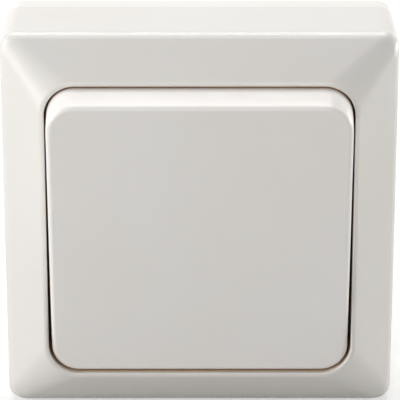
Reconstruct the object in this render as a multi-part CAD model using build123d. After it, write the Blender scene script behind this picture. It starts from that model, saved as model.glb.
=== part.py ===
from build123d import *
import math
import os

# Millimetres. The wall is the plane Y = 0, the front faces -Y, Z is up and X is to the right.
# Depths named with _W are distances out from the wall, so Y = -W.
# Depths named with _V are distances out from the rocker's pivot, along the rocker's own axis.

# Outline of the body
BODY_SIDE = 80.0
BODY_R = 3.0
EDGE_W = 24.0
RIM_RISE = 6.7
EDGE_ROUND = 2.5
WALL = 2.0

# Opening for the rocker
SURROUND = 8.95
OPENING_R = 6.2
RIM_LAND = 0.8
RIM_ROUND = 0.35
RIM_BLEND = 1.0
COLLAR_T = 1.6
COLLAR_DEEP = 9.2
COLLAR_DRAFT = 1.0
GUSSET_X = 20.0
GUSSET_T = 1.4

# Back plate
PLATE_EDGE = 4.5
PLATE_FLOOR = 2.4
PLATE_RECESS = 0.9
SPIGOT_T = 1.5
SPIGOT_END_W = 8.0
SPIGOT_GAP = 0.15
SLOT_SPACING = 60.0
SLOT_WIDE = 4.2
SLOT_LONG = 8.0
SLOT_PAD_T = 1.0
SLOT_PAD_RIM = 1.8
CABLE_WIDE = 24.0
CABLE_HIGH = 12.0
CABLE_Z = 29.5
CABLE_LIP_T = 1.4
CABLE_LIP_W = 4.4
RECESS_R = 2.0
RECESS_Z = 22.0
RECESS_HIGH = 20.0
LOW_RECESS_X = 16.0
LOW_RECESS_WIDE = 26.0
TOP_RECESS_X = 25.0
TOP_RECESS_WIDE = 16.0

# Catches between the cover and the back plate
CATCH_X = 22.0
CATCH_WIDE = 8.0
CATCH_W = 7.4
CATCH_T = 2.0
CATCH_DEEP = 1.5
CATCH_BEVEL = 0.5
HOOK_BITE = 0.9
HOOK_GAP = 0.1
TONGUE_T = 1.4
TONGUE_GAP = 0.5
TONGUE_SIDE_GAP = 1.0
HOOK_T = 2.4
HOOK_EDGE = 0.6

# Break-outs for cables, thinned from inside
BREAKOUT_WIDE = 14.0
BREAKOUT_END_W = 14.0
BREAKOUT_SKIN = 0.8

# Rocker, measured out from its pivot when level
PIVOT_DEEP = 4.2
ROCKER_TILT = 7.24
ROCKER_SIDE_GAP = 0.63
ROCKER_END_GAP = 0.5
ROCKER_CORNER_GAP = 0.6
ROCKER_ROUND = 1.0
ROCKER_FACE_V = 7.15
ROCKER_SKIRT = 10.0
ROCKER_DRAFT = 1.0
ROCKER_SKIN = 1.8
ROCKER_TOP_T = 2.0
ROCKER_RIB_T = 1.4
ROCKER_RIB_DEEP = 2.6
ROCKER_RIB_Z = 20.0
LEG_WIDE = 8.0
LEG_T = 1.4
LEG_HOOK = 0.8
LEG_HOOK_T = 1.4
LEG_HOOK_EDGE = 0.5
LEG_GAP = 0.1

# Carrier, measured out from the pivot when level
CARRIER_WIDE = 23.0
CARRIER_HIGH = 18.0
CARRIER_LOW_V = -1.6
CARRIER_TOP_V = 2.2
CARRIER_R = 1.5
SEAT_RIB_X = 8.0
SEAT_RIB_INSET = 1.0
TRUNNION_R = 2.0
STEM_R = 3.6
STEM_FLARE = 1.0
STEM_FLANK_T = 1.4
STEM_FLANK_WIDE = 10.0
STEM_FLANK_DEEP = 4.6
BORE_R = 2.2
BORE_TOP_V = -2.2

# Plunger and spring
PLUNGER_GAP = 0.07
SHAFT_LONG = 6.8
SHAFT_PROUD = 2.3
NOSE_R = 1.2
NOSE_LONG = 3.03
NOSE_LIFT = 1.17
SPRING_MEAN_R = 1.5
SPRING_WIRE_R = 0.25
SPRING_WIRE_SIDES = 5
SPRING_TURNS = 4.5
SPRING_GAP = 0.05

# Bearing frame
FRAME_R = 3.0
FRAME_W = 15.0
FRAME_T = 2.0
CHEEK_T = 3.0
CHEEK_GAP = 0.5
CHEEK_HALF = 6.0
CHEEK_EYE_T = 1.8
BEARING_GAP = 0.06
SNAP_BITE = 0.4
STEM_SLOT_GAP = 0.75
STEM_SLOT_R = 1.5
ACCESS_R = 3.4

# Socket
SOCKET_FLOOR_W = 5.0
SOCKET_SIDE = 3.0
SOCKET_END = 2.5
CHAMBER_SIDE = 3.0
CHAMBER_END = 2.0
CHAMBER_R = 1.0
POCKET_GAP = 0.3
WIRE_SLOT = 3.6

# Brass strips and terminals
STRIP_T = 0.8
STRIP_WIDE = 5.0
PAD_WIDE = 8.0
TERMINAL_X = 17.0
TERMINAL_Z = 14.5
CONTACT_ARM = 9.0
CLAMP_SIDE = 7.0
CLAMP_R = 0.6
CLAMP_T = 1.2
CLAMP_LIFT = 2.6
CLAMP_LIP = 1.0
CLAMP_LIP_T = 1.0
THREAD_GAP = 0.03

# Contact see-saw, measured out from its knife edge when level
SAW_TILT = 9.6
SAW_T = 1.0
SAW_REACH = 11.0
SAW_R = 1.2
SAW_VALLEY_R = 2.0
KNIFE_R = 0.35
KNIFE_GAP = 0.1
RIVET_R = 1.6
RIVET_T = 0.8
RIVET_BEVEL = 0.3
RIVET_SHANK_R = 0.9
RIVET_GAP = 0.02
CONTACT_GAP = 0.1

# Screws
TERMINAL_SCREW_R = 1.75
TERMINAL_HEAD_R = 2.9
TERMINAL_HEAD_T = 2.2
TERMINAL_SCREW_END_W = 3.4
TERMINAL_HOLE_W = 3.0
SOCKET_SCREW_R = 1.45
SOCKET_HEAD_R = 2.7
SOCKET_HEAD_T = 1.9
SOCKET_SCREW_END_W = 2.4
SCREW_HOLE_GAP = 0.25
SCREW_SLOT_T = 0.8
SCREW_SLOT_DEEP = 1.1
SCREW_BEVEL = 0.5
SCREW_EDGE = 4.0
POST_R = 3.2
POST_END_W = 8.0
POST_GAP = 0.15
POST_FLOOR_W = 1.8

# Overlap of pieces that are joined, and the slack when edges are picked by their place
EMBED = 0.5
PICK = 0.001

# Values that follow from the ones above
RIM_W = EDGE_W + RIM_RISE
OPENING_SIDE = BODY_SIDE - 2 * SURROUND
COLLAR_END_W = RIM_W - COLLAR_DEEP
PIVOT_W = RIM_W - PIVOT_DEEP
ROCKER_WIDE = OPENING_SIDE - 2 * ROCKER_SIDE_GAP
ROCKER_END_R = math.hypot(OPENING_SIDE / 2 - ROCKER_END_GAP, PIVOT_DEEP)
ROCKER_R = OPENING_R - ROCKER_CORNER_GAP
INNER_SIDE = BODY_SIDE - 2 * WALL
CATCH_TIP = INNER_SIDE / 2 - CATCH_DEEP
TONGUE_Z = CATCH_TIP - TONGUE_GAP
SOCKET_W = PLATE_FLOOR
STRIP_TOP_W = SOCKET_FLOOR_W + STRIP_T
FIXED_TOP_W = STRIP_TOP_W + RIVET_T
SAW_W = FIXED_TOP_W + CONTACT_GAP + RIVET_T
NOSE_END_V = SAW_W - PIVOT_W + NOSE_LIFT
PLUNGER_STEP_V = NOSE_END_V + NOSE_LONG
PLUNGER_HEAD_V = PLUNGER_STEP_V + SHAFT_LONG
STEM_END_V = PLUNGER_STEP_V + SHAFT_PROUD
STEM_SWING = (PIVOT_W - FRAME_W) * math.sin(math.radians(ROCKER_TILT))
FRAME_WIDE = 2 * (TERMINAL_X + PAD_WIDE / 2 + SOCKET_SIDE)
FRAME_HIGH = 2 * (TERMINAL_Z + PAD_WIDE / 2 + SOCKET_END)
CHAMBER_WIDE = STRIP_WIDE + 2 * CHAMBER_SIDE
CHAMBER_HIGH = 2 * (SAW_REACH + CHAMBER_END)
CHEEK_EYE_R = TRUNNION_R + CHEEK_EYE_T
CHEEK_X = CARRIER_WIDE / 2 + CHEEK_GAP
CLAMP_W = STRIP_TOP_W + CLAMP_LIFT
TERMINAL_HEAD_W = CLAMP_W + CLAMP_T
FRAME_TOP_W = FRAME_W + FRAME_T
UPPER_TERMINAL = (TERMINAL_X, TERMINAL_Z)
LOWER_TERMINAL = (TERMINAL_X, -TERMINAL_Z)
COMMON_TERMINAL = (-TERMINAL_X, TERMINAL_Z)
SOCKET_SCREW_LEFT = (-TERMINAL_X, -TERMINAL_Z)
SOCKET_SCREW_RIGHT = (FRAME_WIDE / 2 - SCREW_EDGE, 0.0)
ROCKER_REST = Pos(0, -PIVOT_W, 0) * Rot(ROCKER_TILT, 0, 0)
SAW_REST = Pos(0, -SAW_W, 0) * Rot(-SAW_TILT, 0, 0)


# A plane parallel to the wall, seen from the front
def front(w):
    return Plane.XZ.offset(w)


# A flat outline drawn as seen from the front and made solid from one depth to another
def slab(outline, w0, w1, x=0.0, z=0.0, taper=0.0):
    return extrude(front(w0) * Pos(x, z) * outline, amount=w1 - w0, taper=taper)


def disc(r, w0, w1, x=0.0, z=0.0):
    return slab(Circle(r), w0, w1, x, z)


def rounded_square(side, r):
    return RectangleRounded(side, side, r)


# A block between corners given as x, z seen from the front
def block(x0, x1, z0, z1, w0, w1):
    return slab(Rectangle(x1 - x0, z1 - z0), w0, w1, (x0 + x1) / 2, (z0 + z1) / 2)


# A profile of (w, z) points carried along X
def beam(points, x0, x1):
    corners = [(-w, z) for w, z in points]
    face = make_face(Polyline(*corners, close=True))
    return extrude(Plane.YZ.offset(x0) * face, amount=x1 - x0)


# A round bar along X
def bar(r, w, z, x0, x1):
    return extrude(Plane.YZ.offset(x0) * Pos(-w, z) * Circle(r), amount=x1 - x0)


def mirrored_x(shape):
    return shape + mirror(shape, Plane.YZ)


def mirrored_z(shape):
    return shape + mirror(shape, Plane.XY)


# Edges that lie in the plane at depth w
def edges_at(shape, w):
    return shape.edges().filter_by_position(Axis.Y, -w - PICK, -w + PICK)


# Height of the bevel's outer face at a distance from the middle
def bevel_w(half):
    top_half = OPENING_SIDE / 2 + RIM_LAND
    slope = (RIM_W - EDGE_W) / (BODY_SIDE / 2 - top_half)
    return EDGE_W + (BODY_SIDE / 2 - half) * slope


def make_cover():
    rim_side = OPENING_SIDE + 2 * RIM_LAND
    edge = rounded_square(BODY_SIDE, BODY_R)
    rim = rounded_square(rim_side, OPENING_R + RIM_LAND)
    outer = slab(edge, PLATE_EDGE, EDGE_W) + loft([front(EDGE_W) * edge, front(RIM_W) * rim], ruled=True)
    outer = fillet(edges_at(outer, EDGE_W), EDGE_ROUND)

    rise = RIM_W - EDGE_W
    run = (BODY_SIDE - rim_side) / 2
    drop = WALL * math.hypot(rise, run) / run
    collar_side = OPENING_SIDE + 2 * COLLAR_T
    shoulder_w = bevel_w(INNER_SIDE / 2) - drop
    neck_w = bevel_w(collar_side / 2) - drop
    inner = rounded_square(INNER_SIDE, BODY_R - WALL)
    neck = rounded_square(collar_side, OPENING_R + COLLAR_T)
    room = slab(inner, PLATE_EDGE, shoulder_w)
    room += loft([front(shoulder_w) * inner, front(neck_w) * neck], ruled=True)
    collar = slab(neck, COLLAR_END_W, neck_w)
    back_w = COLLAR_END_W - EMBED
    grow = (RIM_W - back_w) * math.tan(math.radians(COLLAR_DRAFT))
    opening = rounded_square(OPENING_SIDE + 2 * grow, OPENING_R + grow)

    # gussets from the collar to the side walls
    root = INNER_SIDE / 2 + EMBED
    gusset = block(GUSSET_X, GUSSET_X + GUSSET_T, OPENING_SIDE / 2, root, COLLAR_END_W, RIM_W)
    gussets = mirrored_x(mirrored_z(gusset))
    gussets += Rot(0, 90, 0) * gussets

    catch = beam([(CATCH_W, root), (CATCH_W, CATCH_TIP + CATCH_BEVEL), (CATCH_W + CATCH_BEVEL, CATCH_TIP),
                  (CATCH_W + CATCH_T, CATCH_TIP), (CATCH_W + CATCH_T, root)],
                 CATCH_X - CATCH_WIDE / 2, CATCH_X + CATCH_WIDE / 2)
    breakout = block(-BREAKOUT_WIDE / 2, BREAKOUT_WIDE / 2, INNER_SIDE / 2 - EMBED,
                     BODY_SIDE / 2 - BREAKOUT_SKIN, PLATE_EDGE, BREAKOUT_END_W)

    cover = outer - room + collar + (gussets & outer)
    cover -= slab(opening, back_w, RIM_W, taper=COLLAR_DRAFT)
    cover += mirrored_x(mirrored_z(catch))
    cover -= mirrored_z(breakout)
    land = cover.faces().filter_by_position(Axis.Y, -RIM_W - PICK, -RIM_W + PICK)[0]
    cover = fillet(land.outer_wire().edges(), RIM_BLEND)
    land = cover.faces().filter_by_position(Axis.Y, -RIM_W - PICK, -RIM_W + PICK)[0]
    return fillet(land.inner_wires()[0].edges(), RIM_ROUND)


def make_back_plate():
    spigot_side = INNER_SIDE - 2 * SPIGOT_GAP
    spigot_inner = spigot_side - 2 * SPIGOT_T
    plate = slab(rounded_square(BODY_SIDE, BODY_R), 0, PLATE_EDGE)
    plate += slab(rounded_square(spigot_side, BODY_R - WALL), PLATE_EDGE, SPIGOT_END_W)
    plate -= slab(rounded_square(spigot_inner, BODY_R - WALL), PLATE_FLOOR, SPIGOT_END_W)

    # gaps in the spigot at the tongues and the break-outs
    gap_half = CATCH_WIDE / 2 + TONGUE_SIDE_GAP
    reach = INNER_SIDE / 2
    gap_in = spigot_inner / 2 - EMBED
    tongue_gap = block(CATCH_X - gap_half, CATCH_X + gap_half, gap_in, reach, PLATE_EDGE, SPIGOT_END_W)
    cable_gap = block(-BREAKOUT_WIDE / 2, BREAKOUT_WIDE / 2, gap_in, reach, PLATE_EDGE, SPIGOT_END_W)
    plate -= mirrored_z(mirrored_x(tongue_gap) + cable_gap)

    hook_w = CATCH_W + CATCH_T + HOOK_GAP
    tongue_in = TONGUE_Z - TONGUE_T
    hook_out = CATCH_TIP + HOOK_BITE
    tip_w = hook_w + HOOK_T
    tongue = beam([(PLATE_FLOOR, tongue_in), (tip_w, tongue_in), (tip_w, TONGUE_Z),
                   (hook_w + HOOK_EDGE, hook_out), (hook_w, hook_out), (hook_w, TONGUE_Z),
                   (PLATE_FLOOR, TONGUE_Z)],
                  CATCH_X - CATCH_WIDE / 2, CATCH_X + CATCH_WIDE / 2)
    plate += mirrored_x(mirrored_z(tongue))

    # wall screw slots, each in a raised pad
    slot = SlotOverall(SLOT_LONG, SLOT_WIDE)
    pad = SlotOverall(SLOT_LONG + 2 * SLOT_PAD_RIM, SLOT_WIDE + 2 * SLOT_PAD_RIM)
    for side in (-1, 1):
        slot_x = side * SLOT_SPACING / 2
        plate += slab(pad, PLATE_FLOOR, PLATE_FLOOR + SLOT_PAD_T, slot_x)
        plate -= slab(slot, 0, PLATE_FLOOR + SLOT_PAD_T, slot_x)

    # rear cable entry with a lip
    cable = SlotOverall(CABLE_WIDE, CABLE_HIGH)
    lip = SlotOverall(CABLE_WIDE + 2 * CABLE_LIP_T, CABLE_HIGH + 2 * CABLE_LIP_T)
    inside = block(-reach, reach, -reach, TONGUE_Z, 0, RIM_W)
    plate += slab(lip, PLATE_FLOOR, CABLE_LIP_W, 0, CABLE_Z) & inside
    plate -= slab(cable, 0, CABLE_LIP_W, 0, CABLE_Z)

    for x, z in (SOCKET_SCREW_LEFT, SOCKET_SCREW_RIGHT):
        plate += disc(POST_R, PLATE_FLOOR, POST_END_W, x, z)
        plate -= disc(SOCKET_SCREW_R + THREAD_GAP, POST_FLOOR_W, POST_END_W, x, z)

    # shallow recesses in the back between the lands that lie on the wall
    low = RectangleRounded(LOW_RECESS_WIDE, RECESS_HIGH, RECESS_R)
    top = RectangleRounded(TOP_RECESS_WIDE, RECESS_HIGH, RECESS_R)
    for side in (-1, 1):
        plate -= slab(low, 0, PLATE_RECESS, side * LOW_RECESS_X, -RECESS_Z)
        plate -= slab(top, 0, PLATE_RECESS, side * TOP_RECESS_X, RECESS_Z)
    return plate


# The rocker's form, with drafted sides, and ends curved about the pivot so that their gap stays at every tilt
def rocker_form(wide, end_r, corner_r, v0, v1):
    sides = slab(Rectangle(wide, 2 * (end_r + EMBED)), v0, v1, taper=ROCKER_DRAFT)
    form = sides & bar(end_r, 0, 0, -wide / 2, wide / 2)
    corners = form.edges().filter_by_position(Axis.Y, -v1 + PICK, -v0 - PICK)
    return fillet(corners, corner_r)


def make_rocker():
    low_v = ROCKER_FACE_V - ROCKER_SKIRT
    spread = 2 * ROCKER_SKIRT * math.tan(math.radians(ROCKER_DRAFT))
    wide = ROCKER_WIDE + spread
    under_v = ROCKER_FACE_V - ROCKER_TOP_T
    cap = rocker_form(wide, ROCKER_END_R, ROCKER_R, low_v, ROCKER_FACE_V)
    cap = fillet(edges_at(cap, ROCKER_FACE_V), ROCKER_ROUND)
    room_r = ROCKER_END_R - ROCKER_SKIN
    cap -= rocker_form(wide - 2 * ROCKER_SKIN, room_r, ROCKER_R - ROCKER_SKIN, low_v, under_v)

    # cross ribs, seat ribs on the carrier and clip legs under it
    half = ROCKER_WIDE / 2 - ROCKER_SKIN + EMBED
    rib = block(-half, half, ROCKER_RIB_Z, ROCKER_RIB_Z + ROCKER_RIB_T, under_v - ROCKER_RIB_DEEP, under_v)
    seat_half = CARRIER_HIGH / 2 - SEAT_RIB_INSET
    seat = block(SEAT_RIB_X, SEAT_RIB_X + ROCKER_RIB_T, -seat_half, seat_half, CARRIER_TOP_V, under_v)
    leg_z = CARRIER_HIGH / 2 + LEG_GAP
    hook_v = CARRIER_LOW_V - LEG_GAP
    tip_z = leg_z - LEG_HOOK
    foot_v = hook_v - LEG_HOOK_T
    leg = beam([(under_v, leg_z), (hook_v, leg_z), (hook_v, tip_z), (hook_v - LEG_HOOK_EDGE, tip_z),
                (foot_v, leg_z), (foot_v, leg_z + LEG_T), (under_v, leg_z + LEG_T)],
               -LEG_WIDE / 2, LEG_WIDE / 2)
    cap += mirrored_z(rib)
    cap += mirrored_x(seat)
    cap += mirrored_z(leg)
    return ROCKER_REST * cap


def make_rocker_carrier():
    plate = slab(RectangleRounded(CARRIER_WIDE, CARRIER_HIGH, CARRIER_R), CARRIER_LOW_V, CARRIER_TOP_V)
    stem = disc(STEM_R, STEM_END_V, CARRIER_LOW_V)
    trunnion_x = CHEEK_X + CHEEK_T
    carrier = plate + stem
    stem_root = edges_at(carrier, CARRIER_LOW_V).filter_by(GeomType.CIRCLE)
    stem_root = stem_root.filter_by(lambda e: abs(e.radius - STEM_R) < PICK)
    carrier = chamfer(stem_root, STEM_FLARE)
    carrier += slab(Rectangle(STEM_FLANK_WIDE, STEM_FLANK_T), CARRIER_LOW_V - STEM_FLANK_DEEP, CARRIER_LOW_V)
    carrier += bar(TRUNNION_R, 0, 0, -trunnion_x, trunnion_x)
    carrier -= disc(BORE_R, STEM_END_V, BORE_TOP_V)
    return ROCKER_REST * carrier


def make_plunger():
    shaft = disc(BORE_R - PLUNGER_GAP, PLUNGER_STEP_V, PLUNGER_HEAD_V)
    nose = disc(NOSE_R, NOSE_END_V + NOSE_R, PLUNGER_STEP_V)
    tip = Pos(0, -(NOSE_END_V + NOSE_R), 0) * Sphere(NOSE_R)
    return ROCKER_REST * (shaft + nose + tip)


def make_snap_spring():
    lift = SPRING_GAP + SPRING_WIRE_R
    height = BORE_TOP_V - PLUNGER_HEAD_V - 2 * lift
    path = Helix(height / SPRING_TURNS, height, SPRING_MEAN_R)
    wire = Plane(path @ 0, z_dir=path % 0) * RegularPolygon(SPRING_WIRE_R, SPRING_WIRE_SIDES)
    coil = sweep(wire, path=path, is_frenet=True)
    return ROCKER_REST * Pos(0, -(PLUNGER_HEAD_V + lift), 0) * Rot(90, 0, 0) * coil


def make_bearing_frame():
    frame = slab(RectangleRounded(FRAME_WIDE, FRAME_HIGH, FRAME_R), FRAME_W, FRAME_TOP_W)
    x0 = CHEEK_X
    x1 = CHEEK_X + CHEEK_T
    neck_w = PIVOT_W - CHEEK_EYE_R
    cheek = beam([(FRAME_W, -CHEEK_HALF), (FRAME_W, CHEEK_HALF), (FRAME_TOP_W, CHEEK_HALF),
                  (neck_w, CHEEK_EYE_R), (PIVOT_W, CHEEK_EYE_R), (PIVOT_W, -CHEEK_EYE_R),
                  (neck_w, -CHEEK_EYE_R), (FRAME_TOP_W, -CHEEK_HALF)], x0, x1)
    cheek += bar(CHEEK_EYE_R, PIVOT_W, 0, x0, x1)
    cheek -= bar(TRUNNION_R + BEARING_GAP, PIVOT_W, 0, x0, x1)
    snap_half = TRUNNION_R - SNAP_BITE
    cheek -= block(x0, x1, -snap_half, snap_half, PIVOT_W, PIVOT_W + CHEEK_EYE_R)
    frame += mirrored_x(cheek)
    slot_x = STEM_R + STEM_SLOT_GAP
    slot_z = slot_x + STEM_SWING
    frame -= slab(RectangleRounded(2 * slot_x, 2 * slot_z, STEM_SLOT_R), FRAME_W, FRAME_TOP_W)
    for x, z in (UPPER_TERMINAL, LOWER_TERMINAL, COMMON_TERMINAL):
        frame -= disc(ACCESS_R, FRAME_W, FRAME_TOP_W, x, z)
    for x, z in (SOCKET_SCREW_LEFT, SOCKET_SCREW_RIGHT):
        frame -= disc(SOCKET_SCREW_R + SCREW_HOLE_GAP, FRAME_W, FRAME_TOP_W, x, z)
    return frame


# Outline of a strip from its contact to its pad, as corners seen from the front
def strip_boxes(grow):
    half = STRIP_WIDE / 2 + grow
    pad_x0 = TERMINAL_X - PAD_WIDE / 2 - grow
    pad_x1 = TERMINAL_X + PAD_WIDE / 2 + grow
    pad_z1 = TERMINAL_Z + PAD_WIDE / 2 + grow
    tail = STRIP_WIDE / 2 + grow
    upper = [(-tail, pad_x1, CONTACT_ARM - half, CONTACT_ARM + half),
             (pad_x0, pad_x1, CONTACT_ARM - half, pad_z1)]
    lower = [(x0, x1, -z1, -z0) for x0, x1, z0, z1 in upper]
    common = [(-pad_x1, tail, -half, half), (-pad_x1, -pad_x0, -half, pad_z1)]
    return {"upper": upper, "lower": lower, "common": common}


def make_socket():
    socket = slab(RectangleRounded(FRAME_WIDE, FRAME_HIGH, FRAME_R), SOCKET_W, FRAME_W)
    chamber = RectangleRounded(CHAMBER_WIDE, CHAMBER_HIGH, CHAMBER_R)
    socket -= slab(chamber, SOCKET_FLOOR_W, FRAME_W)
    for boxes in strip_boxes(POCKET_GAP).values():
        for x0, x1, z0, z1 in boxes:
            socket -= block(x0, x1, z0, z1, SOCKET_FLOOR_W, FRAME_W)
    for x, z in (UPPER_TERMINAL, LOWER_TERMINAL, COMMON_TERMINAL):
        wire_z = math.copysign(FRAME_HIGH / 2, z)
        wire_slot = Rectangle(WIRE_SLOT, FRAME_HIGH - 2 * TERMINAL_Z)
        socket -= slab(wire_slot, STRIP_TOP_W, FRAME_W, x, wire_z)
        socket -= disc(TERMINAL_SCREW_R + SCREW_HOLE_GAP, TERMINAL_HOLE_W, SOCKET_FLOOR_W, x, z)
    for x, z in (SOCKET_SCREW_LEFT, SOCKET_SCREW_RIGHT):
        socket -= disc(POST_R + POST_GAP, SOCKET_W, POST_END_W + POST_GAP, x, z)
        socket -= disc(SOCKET_SCREW_R + SCREW_HOLE_GAP, POST_END_W, FRAME_W, x, z)
    return socket


def make_strip(name):
    strip = Part()
    for x0, x1, z0, z1 in strip_boxes(0.0)[name]:
        strip += block(x0, x1, z0, z1, SOCKET_FLOOR_W, STRIP_TOP_W)
    x, z = {"upper": UPPER_TERMINAL, "lower": LOWER_TERMINAL, "common": COMMON_TERMINAL}[name]
    strip -= disc(TERMINAL_SCREW_R + THREAD_GAP, SOCKET_FLOOR_W, STRIP_TOP_W, x, z)
    if name == "common":
        # knife edge that the see-saw rocks on
        half = STRIP_WIDE / 2
        strip += block(-half, half, -KNIFE_R, KNIFE_R, SOCKET_FLOOR_W, SAW_W)
        strip += bar(KNIFE_R, SAW_W, 0, -half, half)
    else:
        contact_z = math.copysign(CONTACT_ARM, z)
        strip -= disc(RIVET_SHANK_R + RIVET_GAP, SOCKET_FLOOR_W, STRIP_TOP_W, 0, contact_z)
    return strip


# A contact rivet with its face outwards at face_w and its shank going back
def rivet(face_w, shank_end_w, z):
    side = 1 if shank_end_w > face_w else -1
    head_w = face_w + side * RIVET_T
    head = disc(RIVET_R, min(face_w, head_w), max(face_w, head_w), 0, z)
    head = chamfer(edges_at(head, face_w), RIVET_BEVEL)
    return head + disc(RIVET_SHANK_R, min(head_w, shank_end_w), max(head_w, shank_end_w), 0, z)


def make_fixed_contact(side):
    return rivet(FIXED_TOP_W, SOCKET_FLOOR_W, side * CONTACT_ARM)


# One arm of the see-saw lies flat here and is tipped up into the vee afterwards
def saw_arm():
    outline = Pos(0, SAW_REACH / 2) * Rectangle(STRIP_WIDE, SAW_REACH)
    arm = slab(outline, 0, SAW_T)
    corners = arm.edges().filter_by(Axis.Y).sort_by(Axis.Z)[-2:]
    arm = fillet(corners, SAW_R)
    arm -= disc(RIVET_SHANK_R + RIVET_GAP, 0, SAW_T, 0, CONTACT_ARM)
    return Rot(SAW_TILT, 0, 0) * arm


def make_contact_seesaw():
    half = STRIP_WIDE / 2
    saw = mirrored_z(saw_arm())
    valley_w = SAW_T / math.cos(math.radians(SAW_TILT))
    valley = edges_at(saw, valley_w).filter_by(Axis.X)
    saw = fillet(valley, SAW_VALLEY_R)
    saw -= bar(KNIFE_R + KNIFE_GAP, 0, 0, -half, half)
    return SAW_REST * saw


def make_moving_contact(side):
    contact = Rot(SAW_TILT, 0, 0) * rivet(-RIVET_T, SAW_T, CONTACT_ARM)
    if side < 0:
        contact = mirror(contact, Plane.XY)
    return SAW_REST * contact


# A wire clamp: a square washer with a lip turned down at the end the wire stops at
def make_clamp_plate(x, z):
    plate = slab(rounded_square(CLAMP_SIDE, CLAMP_R), CLAMP_W, TERMINAL_HEAD_W, x, z)
    lip = Rectangle(CLAMP_SIDE - 2 * CLAMP_R, CLAMP_LIP_T)
    lip_z = z - math.copysign(CLAMP_SIDE / 2 - CLAMP_LIP_T / 2, z)
    plate += slab(lip, CLAMP_W - CLAMP_LIP, CLAMP_W, x, lip_z)
    return plate - disc(TERMINAL_SCREW_R + THREAD_GAP, CLAMP_W, TERMINAL_HEAD_W, x, z)


# A slotted screw with its head's underside at head_w and its end at end_w
def screw(x, z, head_r, head_t, head_w, shank_r, end_w):
    top_w = head_w + head_t
    head = disc(head_r, head_w, top_w)
    head = chamfer(edges_at(head, top_w), SCREW_BEVEL)
    head -= slab(Rectangle(2 * head_r, SCREW_SLOT_T), top_w - SCREW_SLOT_DEEP, top_w)
    shank = disc(shank_r, end_w, head_w)
    return Pos(x, 0, z) * (head + shank)


def make_terminal_screw(x, z):
    return screw(x, z, TERMINAL_HEAD_R, TERMINAL_HEAD_T, TERMINAL_HEAD_W,
                 TERMINAL_SCREW_R, TERMINAL_SCREW_END_W)


def make_socket_screw(x, z):
    return screw(x, z, SOCKET_HEAD_R, SOCKET_HEAD_T, FRAME_TOP_W,
                 SOCKET_SCREW_R, SOCKET_SCREW_END_W)


nodes = {
    "cover": make_cover(),
    "back_plate": make_back_plate(),
    "rocker": make_rocker(),
    "rocker_carrier": make_rocker_carrier(),
    "plunger": make_plunger(),
    "snap_spring": make_snap_spring(),
    "bearing_frame": make_bearing_frame(),
    "socket": make_socket(),
    "contact_seesaw": make_contact_seesaw(),
    "moving_contact_upper": make_moving_contact(1),
    "moving_contact_lower": make_moving_contact(-1),
    "fixed_contact_upper": make_fixed_contact(1),
    "fixed_contact_lower": make_fixed_contact(-1),
    "socket_screw_left": make_socket_screw(*SOCKET_SCREW_LEFT),
    "socket_screw_right": make_socket_screw(*SOCKET_SCREW_RIGHT),
}
terminals = {"upper": UPPER_TERMINAL, "lower": LOWER_TERMINAL, "common": COMMON_TERMINAL}
for name, spot in terminals.items():
    nodes[name + "_strip"] = make_strip(name)
    nodes["clamp_plate_" + name] = make_clamp_plate(*spot)
    nodes["terminal_screw_" + name] = make_terminal_screw(*spot)

os.makedirs("parts", exist_ok=True)
for name, shape in nodes.items():
    export_step(shape, "parts/" + name + ".step")
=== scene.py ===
import bpy
import math
import numpy as np
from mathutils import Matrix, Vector


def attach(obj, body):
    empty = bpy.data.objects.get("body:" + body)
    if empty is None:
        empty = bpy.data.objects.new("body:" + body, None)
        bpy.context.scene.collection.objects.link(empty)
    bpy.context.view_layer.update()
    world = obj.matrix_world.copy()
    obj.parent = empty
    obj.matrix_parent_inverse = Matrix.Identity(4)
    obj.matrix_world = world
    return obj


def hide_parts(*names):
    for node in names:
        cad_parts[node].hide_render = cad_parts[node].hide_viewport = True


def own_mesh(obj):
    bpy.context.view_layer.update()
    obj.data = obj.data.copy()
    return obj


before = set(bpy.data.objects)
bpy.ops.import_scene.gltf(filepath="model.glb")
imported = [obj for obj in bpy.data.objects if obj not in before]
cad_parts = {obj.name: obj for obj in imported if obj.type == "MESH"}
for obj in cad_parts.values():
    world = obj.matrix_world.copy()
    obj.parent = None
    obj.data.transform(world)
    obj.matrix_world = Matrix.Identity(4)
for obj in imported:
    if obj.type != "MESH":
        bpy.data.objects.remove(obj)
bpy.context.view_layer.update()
print("frame loaded:", len(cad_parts), "nodes")

mm = 0.001  # a value whose name ends in Mm is in millimetres
white = (1.0, 1.0, 1.0, 1.0)


def linearColour(hexCode):  # sRGB hex to the linear colour that shaders take
    parts = np.array([int(hexCode[i:i + 2], 16) for i in (1, 3, 5)]) / 255.0
    low = parts / 12.92
    high = ((parts + 0.055) / 1.055) ** 2.4
    return (*np.where(parts <= 0.04045, low, high).tolist(), 1.0)


def addNode(tree, kind, values=None, links=None, **settings):  # one node with its settings, values and links
    node = tree.nodes.new(kind)
    for name, value in settings.items():
        setattr(node, name, value)
    for socket, value in (values or {}).items():
        node.inputs[socket].default_value = value
    for socket, source in (links or {}).items():
        tree.links.new(source, node.inputs[socket])
    return node


def startMaterial(name):  # an empty material, and the place on the object that its patterns read
    material = bpy.data.materials.new(name)
    material.use_nodes = True
    tree = material.node_tree
    tree.nodes.clear()
    place = addNode(tree, "ShaderNodeTexCoord").outputs["Object"]
    return material, tree, place


def dress(nodeNames, material):  # gives CAD nodes their finish
    for nodeName in nodeNames:
        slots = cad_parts[nodeName].data.materials
        slots.clear()
        slots.append(material)


# Moulding clouds, up to a few centimetres wide, shift the tone. The tool's spark-eroded grain, really about
# 0.05 mm and drawn coarser so that it shows, breaks up the gloss and the surface.
skinNoise = {"flowDetail": 3.0, "grainDetail": 2.0, "low": 0.3, "high": 0.7}


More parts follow.
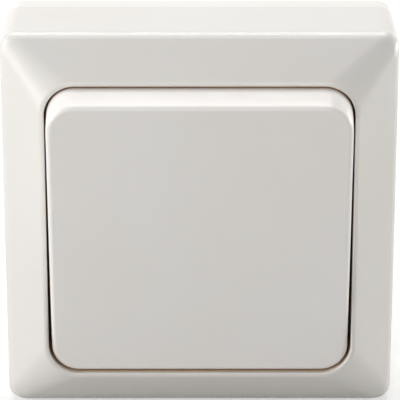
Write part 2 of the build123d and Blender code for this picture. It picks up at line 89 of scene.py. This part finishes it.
def mouldedSkin(tree, place, look):
    flow = addNode(tree, "ShaderNodeTexNoise",
                   {"Scale": 1 / (look["flowMm"] * mm), "Detail": skinNoise["flowDetail"]},
                   {"Vector": place})
    grain = addNode(tree, "ShaderNodeTexNoise",
                    {"Scale": 1 / (look["grainMm"] * mm), "Detail": skinNoise["grainDetail"]},
                    {"Vector": place})
    cloud = addNode(tree, "ShaderNodeMapRange", {"From Min": skinNoise["low"], "From Max": skinNoise["high"]},
                    {"Value": flow.outputs["Fac"]})
    tone = addNode(tree, "ShaderNodeMix",
                   {"A": linearColour(look["tone"]), "B": linearColour(look["cloudTone"])},
                   {"Factor": cloud.outputs["Result"]}, data_type="RGBA")
    glossLow, glossHigh = look["roughness"]
    gloss = addNode(tree, "ShaderNodeMapRange",
                    {"From Min": skinNoise["low"], "From Max": skinNoise["high"],
                     "To Min": glossLow, "To Max": glossHigh}, {"Value": grain.outputs["Fac"]})
    relief = addNode(tree, "ShaderNodeBump", {"Strength": look["relief"], "Distance": look["reliefMm"] * mm},
                     {"Height": grain.outputs["Fac"]})
    return tone.outputs["Result"], gloss.outputs["Result"], relief.outputs["Normal"]


def finishPlastic(tree, tone, gloss, relief, ior):
    shader = addNode(tree, "ShaderNodeBsdfPrincipled", {"IOR": ior},
                     {"Base Color": tone, "Roughness": gloss, "Normal": relief})
    addNode(tree, "ShaderNodeOutputMaterial", links={"Surface": shader.outputs["BSDF"]})


# ABS, injection moulded in a polished tool: an even warm white with a soft gloss. The walls of the opening
# are painted brown, more so deeper below the rim: painted shade and warm bounced light of the gap.
coverLook = {"name": "mouldedAbsCover", "tone": "#E9E6E2", "cloudTone": "#E7E3DD", "gapShade": "#D0A068",
             "flowMm": 28.0, "grainMm": 0.5, "roughness": (0.24, 0.26), "relief": 0.05, "reliefMm": 0.006,
             "ior": 1.54, "openingMm": 62.1, "openingCornerMm": 6.2, "wallMm": 0.3, "rimMm": 30.7,
             "gapShadeFromMm": 0.3, "gapShadeFullMm": 2.8, "sideRoughness": 0.5, "sideMm": 20.0, "edgeMm": 22.5}


def makeCoverAbs(look):
    material, tree, place = startMaterial(look["name"])
    tone, gloss, relief = mouldedSkin(tree, place, look)
    # the opening is a square with round corners: a point is in it, or just inside its wall, where its
    # distance past the outline's straight part is shorter than the corner's radius and a little of the wall
    straight = (look["openingMm"] / 2 - look["openingCornerMm"]) * mm
    flat = addNode(tree, "ShaderNodeVectorMath", {1: (1.0, 0.0, 1.0)}, {0: place}, operation="MULTIPLY")
    folded = addNode(tree, "ShaderNodeVectorMath", links={0: flat.outputs[0]}, operation="ABSOLUTE")
    past = addNode(tree, "ShaderNodeVectorMath", {1: (straight, 0.0, straight)}, {0: folded.outputs[0]},
                   operation="SUBTRACT")
    beyond = addNode(tree, "ShaderNodeVectorMath", {1: (0.0, 0.0, 0.0)}, {0: past.outputs[0]},
                     operation="MAXIMUM")
    reach = addNode(tree, "ShaderNodeVectorMath", links={0: beyond.outputs[0]}, operation="LENGTH")
    inOpening = addNode(tree, "ShaderNodeMath", {1: (look["openingCornerMm"] + look["wallMm"]) * mm},
                        {0: reach.outputs["Value"]}, operation="LESS_THAN")
    # painted shade: the brown thickens with depth below the rim
    axes = addNode(tree, "ShaderNodeSeparateXYZ", links={0: place})
    deep = addNode(tree, "ShaderNodeMapRange",
                   {"From Min": (look["gapShadeFromMm"] - look["rimMm"]) * mm,
                    "From Max": (look["gapShadeFullMm"] - look["rimMm"]) * mm}, {"Value": axes.outputs["Y"]})
    gapShadeMask = addNode(tree, "ShaderNodeMath", links={0: inOpening.outputs[0], 1: deep.outputs["Result"]},
                   operation="MULTIPLY")
    # painted shade of the gap, mixed into the tone inside the opening
    gapShaded = addNode(tree, "ShaderNodeMix", {"B": linearColour(look["gapShade"])},
                    {"Factor": gapShadeMask.outputs[0], "A": tone}, data_type="RGBA")
    # the tool's side walls are eroded, not polished, so they are duller than the front
    onSide = addNode(tree, "ShaderNodeMapRange",
                     {"From Min": -look["edgeMm"] * mm, "From Max": -look["sideMm"] * mm},
                     {"Value": axes.outputs["Y"]})
    dull = addNode(tree, "ShaderNodeMix", {"B": look["sideRoughness"]},
                   {"Factor": onSide.outputs["Result"], "A": gloss})
    finishPlastic(tree, gapShaded.outputs["Result"], dull.outputs["Result"], relief, look["ior"])
    return material


dress(["cover"], makeCoverAbs(coverLook))

# The rocker is the same ABS from another tool, a touch lighter, and its skirt is painted brown from the
# depth of the pivot back: painted shade of the gap round it.
rockerLook = {"name": "mouldedAbsRocker", "tone": "#F7F4F1", "cloudTone": "#F5F1EC", "gapShade": "#D0A068",
              "flowMm": 34.0, "grainMm": 0.5, "roughness": (0.29, 0.31), "relief": 0.05, "reliefMm": 0.006,
              "ior": 1.54, "pivotMm": 26.5, "tilt": 7.24, "gapShadeFromMm": -0.1, "gapShadeFullMm": -0.8}


def makeRockerAbs(look):
    material, tree, place = startMaterial(look["name"])
    tone, gloss, relief = mouldedSkin(tree, place, look)
    # squared to the rocker: its own Y runs back from the pivot
    level = addNode(tree, "ShaderNodeMapping",
                    {"Location": (0.0, -look["pivotMm"] * mm, 0.0),
                     "Rotation": (math.radians(look["tilt"]), 0.0, 0.0)},
                    {"Vector": place}, vector_type="TEXTURE")
    axes = addNode(tree, "ShaderNodeSeparateXYZ", links={0: level.outputs["Vector"]})
    # painted shade: the skirt turns brown behind the pivot's depth, standing in for the gap's shade
    below = addNode(tree, "ShaderNodeMapRange",
                    {"From Min": -look["gapShadeFromMm"] * mm, "From Max": -look["gapShadeFullMm"] * mm},
                    {"Value": axes.outputs["Y"]})
    gapShaded = addNode(tree, "ShaderNodeMix", {"B": linearColour(look["gapShade"])},
                    {"Factor": below.outputs["Result"], "A": tone}, data_type="RGBA")
    finishPlastic(tree, gapShaded.outputs["Result"], gloss, relief, look["ior"])
    return material


dress(["rocker"], makeRockerAbs(rockerLook))

# The back plate is the same ABS in a plainer tool: whiter and duller than the cover, dullest at the wall.
plateLook = {"name": "mouldedAbsBase", "tone": "#F4F2EC", "cloudTone": "#F1EEE7", "flowMm": 30.0,
             "grainMm": 0.6, "roughness": (0.44, 0.52), "wallRoughness": 0.6, "relief": 0.12,
             "reliefMm": 0.008, "ior": 1.54, "dullFromMm": 1.2, "dullFullMm": 0.1}


def makePlateAbs(look):
    material, tree, place = startMaterial(look["name"])
    tone, gloss, relief = mouldedSkin(tree, place, look)
    axes = addNode(tree, "ShaderNodeSeparateXYZ", links={0: place})
    atWall = addNode(tree, "ShaderNodeMapRange",
                     {"From Min": -look["dullFromMm"] * mm, "From Max": -look["dullFullMm"] * mm},
                     {"Value": axes.outputs["Y"]})
    dull = addNode(tree, "ShaderNodeMix", {"B": look["wallRoughness"]},
                   {"Factor": atWall.outputs["Result"], "A": gloss})
    finishPlastic(tree, tone, dull.outputs["Result"], relief, look["ior"])
    return material


dress(["back_plate"], makePlateAbs(plateLook))

# Polyamide, injection moulded: creamy, a little waxy, with cloudy flow and a satin skin.
carrierLook = {"name": "mouldedPolyamideCarrier", "tone": "#E9E4D6", "cloudTone": "#E1DBC9", "flowMm": 12.0,
               "grainMm": 0.4, "roughness": (0.38, 0.48), "relief": 0.35, "reliefMm": 0.008, "ior": 1.53}
bearingLook = {"name": "mouldedPolyamideFrame", "tone": "#DCDAD2", "cloudTone": "#D3D0C6", "flowMm": 14.0,
               "grainMm": 0.4, "roughness": (0.40, 0.50), "relief": 0.35, "reliefMm": 0.008, "ior": 1.53}


def makePlainMoulding(look):
    material, tree, place = startMaterial(look["name"])
    finishPlastic(tree, *mouldedSkin(tree, place, look), look["ior"])
    return material


dress(["rocker_carrier"], makePlainMoulding(carrierLook))
dress(["bearing_frame"], makePlainMoulding(bearingLook))

# Urea resin with mineral filler, compression moulded: stone grey with fine pale specks, nearly matt.
# A speck fades from its core to its edge, which are shares of a cell's size.
socketLook = {"name": "pressedUreaSocket", "tone": "#8F9194", "cloudTone": "#86888C", "speck": "#B4B4B1",
              "flowMm": 9.0, "grainMm": 0.35, "speckMm": 0.5, "speckCore": 0.12, "speckEdge": 0.28,
              "roughness": (0.46, 0.58), "relief": 0.4, "reliefMm": 0.01, "ior": 1.55}


def makeUrea(look):
    material, tree, place = startMaterial(look["name"])
    tone, gloss, relief = mouldedSkin(tree, place, look)
    cells = addNode(tree, "ShaderNodeTexVoronoi", {"Scale": 1 / (look["speckMm"] * mm)}, {"Vector": place})
    specks = addNode(tree, "ShaderNodeMapRange",
                     {"From Min": look["speckEdge"], "From Max": look["speckCore"]},
                     {"Value": cells.outputs["Distance"]})
    speckled = addNode(tree, "ShaderNodeMix", {"B": linearColour(look["speck"])},
                       {"Factor": specks.outputs["Result"], "A": tone}, data_type="RGBA")
    finishPlastic(tree, speckled.outputs["Result"], gloss, relief, look["ior"])
    return material


dress(["socket"], makeUrea(socketLook))
print("plastics done")

# Metals: the marks of rolls, dies and lathe vary the gloss, and a thin film tints the metal in patches.
# A mark is lineLongMm long on lineAxis (0 is X, 1 is Y) and lineMm on the other two.
metalNoise = {"lineDetail": 2.0, "lineLow": 0.3, "lineHigh": 0.7,
              "filmDetail": 4.0, "filmLow": 0.4, "filmHigh": 0.68}


def makeMetal(look):
    material, tree, place = startMaterial(look["name"])
    stretch = [1 / (look["lineMm"] * mm)] * 3
    stretch[look["lineAxis"]] = 1 / (look["lineLongMm"] * mm)
    drawn = addNode(tree, "ShaderNodeMapping", {"Scale": tuple(stretch)}, {"Vector": place})
    lines = addNode(tree, "ShaderNodeTexNoise", {"Scale": 1.0, "Detail": metalNoise["lineDetail"]},
                    {"Vector": drawn.outputs["Vector"]})
    film = addNode(tree, "ShaderNodeTexNoise",
                   {"Scale": 1 / (look["filmMm"] * mm), "Detail": metalNoise["filmDetail"]},
                   {"Vector": place})
    patches = addNode(tree, "ShaderNodeMapRange",
                      {"From Min": metalNoise["filmLow"], "From Max": metalNoise["filmHigh"]},
                      {"Value": film.outputs["Fac"]})
    tone = addNode(tree, "ShaderNodeMix",
                   {"A": linearColour(look["tone"]), "B": linearColour(look["filmTone"])},
                   {"Factor": patches.outputs["Result"]}, data_type="RGBA")
    glossLow, glossHigh = look["roughness"]
    gloss = addNode(tree, "ShaderNodeMapRange",
                    {"From Min": metalNoise["lineLow"], "From Max": metalNoise["lineHigh"],
                     "To Min": glossLow, "To Max": glossHigh}, {"Value": lines.outputs["Fac"]})
    relief = addNode(tree, "ShaderNodeBump", {"Strength": look["relief"], "Distance": look["reliefMm"] * mm},
                     {"Height": lines.outputs["Fac"]})
    shader = addNode(tree, "ShaderNodeBsdfPrincipled", {"Metallic": 1.0},
                     {"Base Color": tone.outputs["Result"], "Roughness": gloss.outputs["Result"],
                      "Normal": relief.outputs["Normal"]})
    addNode(tree, "ShaderNodeOutputMaterial", links={"Surface": shader.outputs["BSDF"]})
    return material


# Rolled brass strip, stamped: warm yellow with fine lines and a brownish film.
brassLook = {"name": "rolledBrassStrip", "tone": "#DDC595", "filmTone": "#B99A62", "filmMm": 3.0,
             "lineMm": 0.25, "lineLongMm": 6.0, "lineAxis": 0, "roughness": (0.22, 0.36), "relief": 0.3,
             "reliefMm": 0.004}
# Brass turned on a lathe: the same metal with rings across the pin.
plungerLook = {"name": "turnedBrassPlunger", "tone": "#E0C896", "filmTone": "#BFA068", "filmMm": 2.5,
               "lineMm": 2.5, "lineLongMm": 0.2, "lineAxis": 1, "roughness": (0.18, 0.30), "relief": 0.3,
               "reliefMm": 0.004}
# Silver alloy, coined: white metal with a grey bloom from the arc.
silverLook = {"name": "coinedSilverContact", "tone": "#ECEAE5", "filmTone": "#C3BFB8", "filmMm": 0.8,
              "lineMm": 0.3, "lineLongMm": 0.3, "lineAxis": 0, "roughness": (0.24, 0.38), "relief": 0.3,
              "reliefMm": 0.003}
# Steel screws, turned and zinc plated: pale blue-grey with a faint yellow bloom and rings across the shank.
screwLook = {"name": "zincPlatedScrew", "tone": "#CDD0D2", "filmTone": "#CFCAB8", "filmMm": 1.8,
             "lineMm": 1.4, "lineLongMm": 0.3, "lineAxis": 1, "roughness": (0.26, 0.40), "relief": 0.35,
             "reliefMm": 0.005}
# Steel clamps, stamped and zinc plated: the same bloom over fine rolling lines.
clampLook = {"name": "zincPlatedClamp", "tone": "#C9CCCE", "filmTone": "#CBC6B4", "filmMm": 2.2,
             "lineMm": 0.25, "lineLongMm": 4.0, "lineAxis": 0, "roughness": (0.30, 0.44), "relief": 0.3,
             "reliefMm": 0.004}
# Spring steel, drawn through a die: darker grey with short fine lines.
wireLook = {"name": "drawnSpringWire", "tone": "#B4B5B7", "filmTone": "#8F8D88", "filmMm": 1.0,
            "lineMm": 0.12, "lineLongMm": 0.6, "lineAxis": 0, "roughness": (0.26, 0.40), "relief": 0.25,
            "reliefMm": 0.002}

dress(["common_strip", "upper_strip", "lower_strip", "contact_seesaw"], makeMetal(brassLook))
dress(["plunger"], makeMetal(plungerLook))
dress(["moving_contact_upper", "moving_contact_lower", "fixed_contact_upper", "fixed_contact_lower"],
      makeMetal(silverLook))
dress(["terminal_screw_common", "terminal_screw_upper", "terminal_screw_lower", "socket_screw_left",
       "socket_screw_right"], makeMetal(screwLook))
dress(["clamp_plate_common", "clamp_plate_upper", "clamp_plate_lower"], makeMetal(clampLook))
print("metals done")


def sweptFaces(rows, sides):  # quads between neighbouring closed sections, and one face over each end
    here = np.arange((rows - 1) * sides).reshape(rows - 1, sides)
    beside = np.roll(here, -1, axis=1)
    walls = np.stack([here, beside, beside + sides, here + sides], axis=-1).reshape(-1, 4)
    ends = np.stack([np.arange(sides)[::-1], np.arange(sides) + (rows - 1) * sides])
    return walls, ends


def addPiece(name, points, faces, material):  # an object at the origin, with its place in its mesh
    mesh = bpy.data.meshes.new(name)
    mesh.from_pydata(points.tolist(), [], faces)
    mesh.materials.append(material)
    piece = bpy.data.objects.new(name, mesh)
    bpy.context.scene.collection.objects.link(piece)
    return piece


# The snap spring is wound from round wire, with its end turns closed up so that it stands square. It fills
# the stem's bore between the bore's end and the plunger's head. The real spring shortens as the plunger is
# pushed in; this coil is drawn at one length.
coilLook = {"name": "snap_spring_coil", "body": "rocker", "joint": "plunger_slide", "radiusMm": 1.5,
            "wireMm": 0.5, "turns": 6.5, "endTurns": 1.0, "endPitchMm": 0.52, "boreEndMm": 2.2,
            "plungerHeadMm": 8.0, "clearMm": 0.05, "travelMm": 0.8, "pivotMm": rockerLook["pivotMm"],
            "tilt": rockerLook["tilt"], "stepsPerTurn": 48, "sides": 14}


# Wire centre after t turns: (radius cos, depth, radius sin) of t, where the depth grows by the end pitch in
# the end turns and evenly between them. Ring points stand round it at half the wire's width, on the radial
# line and the line square to it and to the wire, and the whole is tilted with the rocker about its pivot.
def makeSnapSpring(look, material):
    inset = look["clearMm"] + look["wireMm"] / 2
    first = look["boreEndMm"] + inset
    last = look["plungerHeadMm"] - inset
    endClimb = look["endTurns"] * look["endPitchMm"]
    turns = np.linspace(0.0, look["turns"], int(look["turns"] * look["stepsPerTurn"]) + 1)
    depth = np.interp(turns, [0.0, look["endTurns"], look["turns"] - look["endTurns"], look["turns"]],
                      [first, first + endClimb, last - endClimb, last])
    angle = 2 * np.pi * turns
    radial = np.stack([np.cos(angle), np.zeros_like(angle), np.sin(angle)], axis=1)
    centre = look["radiusMm"] * radial
    centre[:, 1] = depth
    along = np.gradient(centre, axis=0)
    along /= np.linalg.norm(along, axis=1, keepdims=True)
    across = np.cross(along, radial)
    around = np.linspace(0.0, 2 * np.pi, look["sides"], endpoint=False)[None, :, None]
    ring = np.cos(around) * radial[:, None, :] + np.sin(around) * across[:, None, :]
    points = (centre[:, None, :] + look["wireMm"] / 2 * ring).reshape(-1, 3)
    tilt = math.radians(look["tilt"])
    turned = np.array([[1.0, 0.0, 0.0],
                       [0.0, math.cos(tilt), -math.sin(tilt)],
                       [0.0, math.sin(tilt), math.cos(tilt)]])
    pivot = np.array([0.0, -look["pivotMm"], 0.0])
    walls, ends = sweptFaces(len(turns), look["sides"])
    coil = addPiece(look["name"], (points @ turned.T + pivot) * mm, walls.tolist() + ends.tolist(), material)
    coil.data.polygons.foreach_set("use_smooth", [True] * len(walls) + [False] * len(ends))
    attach(coil, look["body"])
    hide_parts("snap_spring")
    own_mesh(coil)


makeSnapSpring(coilLook, makeMetal(wireLook))
print("spring done")

# Inside each side wall the cover has a thin shelf over the wall screw, so that no daylight comes through
# the screw's slot to the gap beside the rocker. It is moulded with the cover and stays clear of the rocker.
shelfLook = {"name": "screw_shelf", "body": "housing", "slot": "cover_plastic", "rootMm": 38.2,
             "tipMm": 25.5, "lowMm": -9.0, "highMm": 13.0, "depthMm": 11.0, "rootThickMm": 1.5,
             "tipThickMm": 1.0, "cornerMm": 3.0, "steps": 60, "tipSteps": 8}
# The cover's ABS as the inside of the tool leaves it: unpolished, and greyed in clouds by dust on it.
shelfFinish = {"name": "mouldedAbsShelf", "tone": "#D6D1C8", "cloudTone": "#C2B9AB", "flowMm": 6.0,
               "grainMm": 0.5, "roughness": (0.52, 0.60), "relief": 0.2, "reliefMm": 0.008, "ior": 1.54}


# Section at height z: two points at the root, then half a circle round the tip. The tip draws back at both
# ends of the shelf by corner less the root of (corner squared less over squared), where over is how far z is
# past the straight part, and the section is carried upwards from low to high. Side is 1 on the right and -1
# on the left.
def makeScrewShelf(look, sideName, side, material):
    low, high, corner = look["lowMm"], look["highMm"], look["cornerMm"]
    height = np.linspace(low, high, look["steps"])
    over = np.maximum(0.0, np.maximum(low + corner - height, height - high + corner))
    tip = look["tipMm"] + corner - np.sqrt(np.maximum(corner ** 2 - over ** 2, 0.0))
    arc = np.linspace(0.5 * np.pi, 1.5 * np.pi, look["tipSteps"] + 1)
    tipHalf = look["tipThickMm"] / 2
    rootHalf = look["rootThickMm"] / 2
    thickness = np.concatenate([[-rootHalf, rootHalf], tipHalf * np.sin(arc)])
    points = np.zeros((len(height), len(thickness), 3))
    points[:, :2, 0] = side * look["rootMm"]
    points[:, 2:, 0] = side * (tip[:, None] + tipHalf * (1 + np.cos(arc)))
    points[:, :, 1] = -look["depthMm"] - thickness
    points[:, :, 2] = height[:, None]
    walls, ends = sweptFaces(len(height), len(thickness))
    order = -side  # the right-hand section runs the other way round, so its faces are turned over
    faces = walls[:, ::order].tolist() + ends[:, ::order].tolist()
    shelf = addPiece(look["name"] + sideName, points.reshape(-1, 3) * mm, faces, material)
    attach(shelf, look["body"])


shelfAbs = makePlainMoulding(shelfFinish)
makeScrewShelf(shelfLook, "_left", -1, shelfAbs)
makeScrewShelf(shelfLook, "_right", 1, shelfAbs)
print("shelves done")

# A painted studio floor, its side in metres: it takes the object's shadow, and glows a little to the camera
# and in reflections, more so farther out where the lamps don't reach, so that it reads as white. Close by,
# in the object's own shade, a reflection shows less of that glow than the camera does.
floorLook = {"name": "paintedFloor", "side": 6.0, "heightMm": -40.05, "tone": "#D4D4D2", "glowNear": 0.42,
             "mirrorNear": 0.1, "glowFar": 1.0, "nearMm": 100.0, "farMm": 600.0}


def makeFloor(look):
    material, tree, place = startMaterial(look["name"])
    paint = addNode(tree, "ShaderNodeBsdfDiffuse", {"Color": linearColour(look["tone"])})
    path = addNode(tree, "ShaderNodeLightPath")
    away = addNode(tree, "ShaderNodeVectorMath", links={0: place}, operation="LENGTH")
    shares = []
    for ray, near in (("Is Camera Ray", "glowNear"), ("Is Glossy Ray", "mirrorNear")):
        amount = addNode(tree, "ShaderNodeMapRange",
                         {"From Min": look["nearMm"] * mm, "From Max": look["farMm"] * mm,
                          "To Min": look[near], "To Max": look["glowFar"]}, {"Value": away.outputs["Value"]})
        share = addNode(tree, "ShaderNodeMath", links={0: path.outputs[ray], 1: amount.outputs["Result"]},
                        operation="MULTIPLY")
        shares.append(share.outputs[0])
    level = addNode(tree, "ShaderNodeMath", links={0: shares[0], 1: shares[1]}, operation="MAXIMUM")
    glow = addNode(tree, "ShaderNodeEmission", {"Color": white}, {"Strength": level.outputs[0]})
    both = addNode(tree, "ShaderNodeAddShader", links={0: paint.outputs[0], 1: glow.outputs[0]})
    addNode(tree, "ShaderNodeOutputMaterial", links={"Surface": both.outputs[0]})
    half = look["side"] / 2
    height = look["heightMm"] * mm
    corners = np.array([[-half, -half, height], [half, -half, height],
                        [half, half, height], [-half, half, height]])
    floor = addPiece("floor", corners, [(0, 1, 2, 3)], material)


makeFloor(floorLook)

backgroundLook = {"name": "studio", "seen": 1.0, "ambient": 0.0}


def makeBackground(look):  # white where it is seen or mirrored, no light of its own elsewhere
    world = bpy.data.worlds.new(look["name"])
    world.use_nodes = True
    tree = world.node_tree
    tree.nodes.clear()
    path = addNode(tree, "ShaderNodeLightPath")
    direct = addNode(tree, "ShaderNodeMath",
                     links={0: path.outputs["Is Camera Ray"], 1: path.outputs["Is Glossy Ray"]},
                     operation="MAXIMUM")
    seen = addNode(tree, "ShaderNodeMath",
                   links={0: direct.outputs[0], 1: path.outputs["Is Transmission Ray"]},
                   operation="MAXIMUM")
    level = addNode(tree, "ShaderNodeMapRange", {"To Min": look["ambient"], "To Max": look["seen"]},
                    {"Value": seen.outputs[0]})
    sky = addNode(tree, "ShaderNodeBackground", {"Color": white}, {"Strength": level.outputs["Result"]})
    addNode(tree, "ShaderNodeOutputWorld", links={"Surface": sky.outputs[0]})
    bpy.context.scene.world = world


makeBackground(backgroundLook)
print("floor and background done")

lampLooks = {  # place and size in metres, power in watts
    "topBackBox": {"place": (0.0, 0.33, 0.65), "size": (0.60, 0.12), "power": 2.05},
    "backBox": {"place": (0.0, 0.58, 0.46), "size": (0.60, 0.12), "power": 1.0},
    "topFrontBox": {"place": (0.0, -0.05, 0.65), "size": (0.60, 0.12), "power": 0.98},
    "leftBox": {"place": (-0.55, -0.20, 0.19), "size": (0.50, 0.45), "power": 2.88},
    "rightBox": {"place": (0.55, 0.05, 0.03), "size": (0.45, 0.16), "power": 1.96},
    "frontBox": {"place": (0.0, -0.80, 0.30), "size": (0.35, 0.25), "power": 1.36},
}
lampAim = Vector((0.0, -0.02, 0.0))  # about the middle of the switch


def makeLamp(name, look):
    data = bpy.data.lights.new(name, "AREA")
    data.shape = "RECTANGLE"
    data.size, data.size_y = look["size"]
    data.energy = look["power"]
    lamp = bpy.data.objects.new(name, data)
    lamp.location = look["place"]
    lamp.rotation_mode = "QUATERNION"
    lamp.rotation_quaternion = (lampAim - Vector(look["place"])).to_track_quat("-Z", "Y")
    bpy.context.scene.collection.objects.link(lamp)


for lampName, lampLook in lampLooks.items():
    makeLamp(lampName, lampLook)
print("lights done")

# place, near and far in metres, down and turn in degrees, lens and sensor in millimetres
cameraLook = {"place": (-0.0003, -0.5117, 0.1869), "down": 20.486, "turn": -0.045, "lens": 229.55,
              "sensor": 36.0, "near": 0.01, "far": 20.0}


def makeCamera(look):
    data = bpy.data.cameras.new("camera")
    data.lens = look["lens"]
    data.sensor_width = look["sensor"]
    data.clip_start = look["near"]
    data.clip_end = look["far"]
    camera = bpy.data.objects.new("camera", data)
    camera.location = look["place"]
    camera.rotation_euler = (math.radians(90 - look["down"]), 0.0, math.radians(look["turn"]))
    bpy.context.scene.collection.objects.link(camera)
    bpy.context.scene.camera = camera


makeCamera(cameraLook)
bpy.context.scene.view_settings.view_transform = "Standard"
print("camera done")
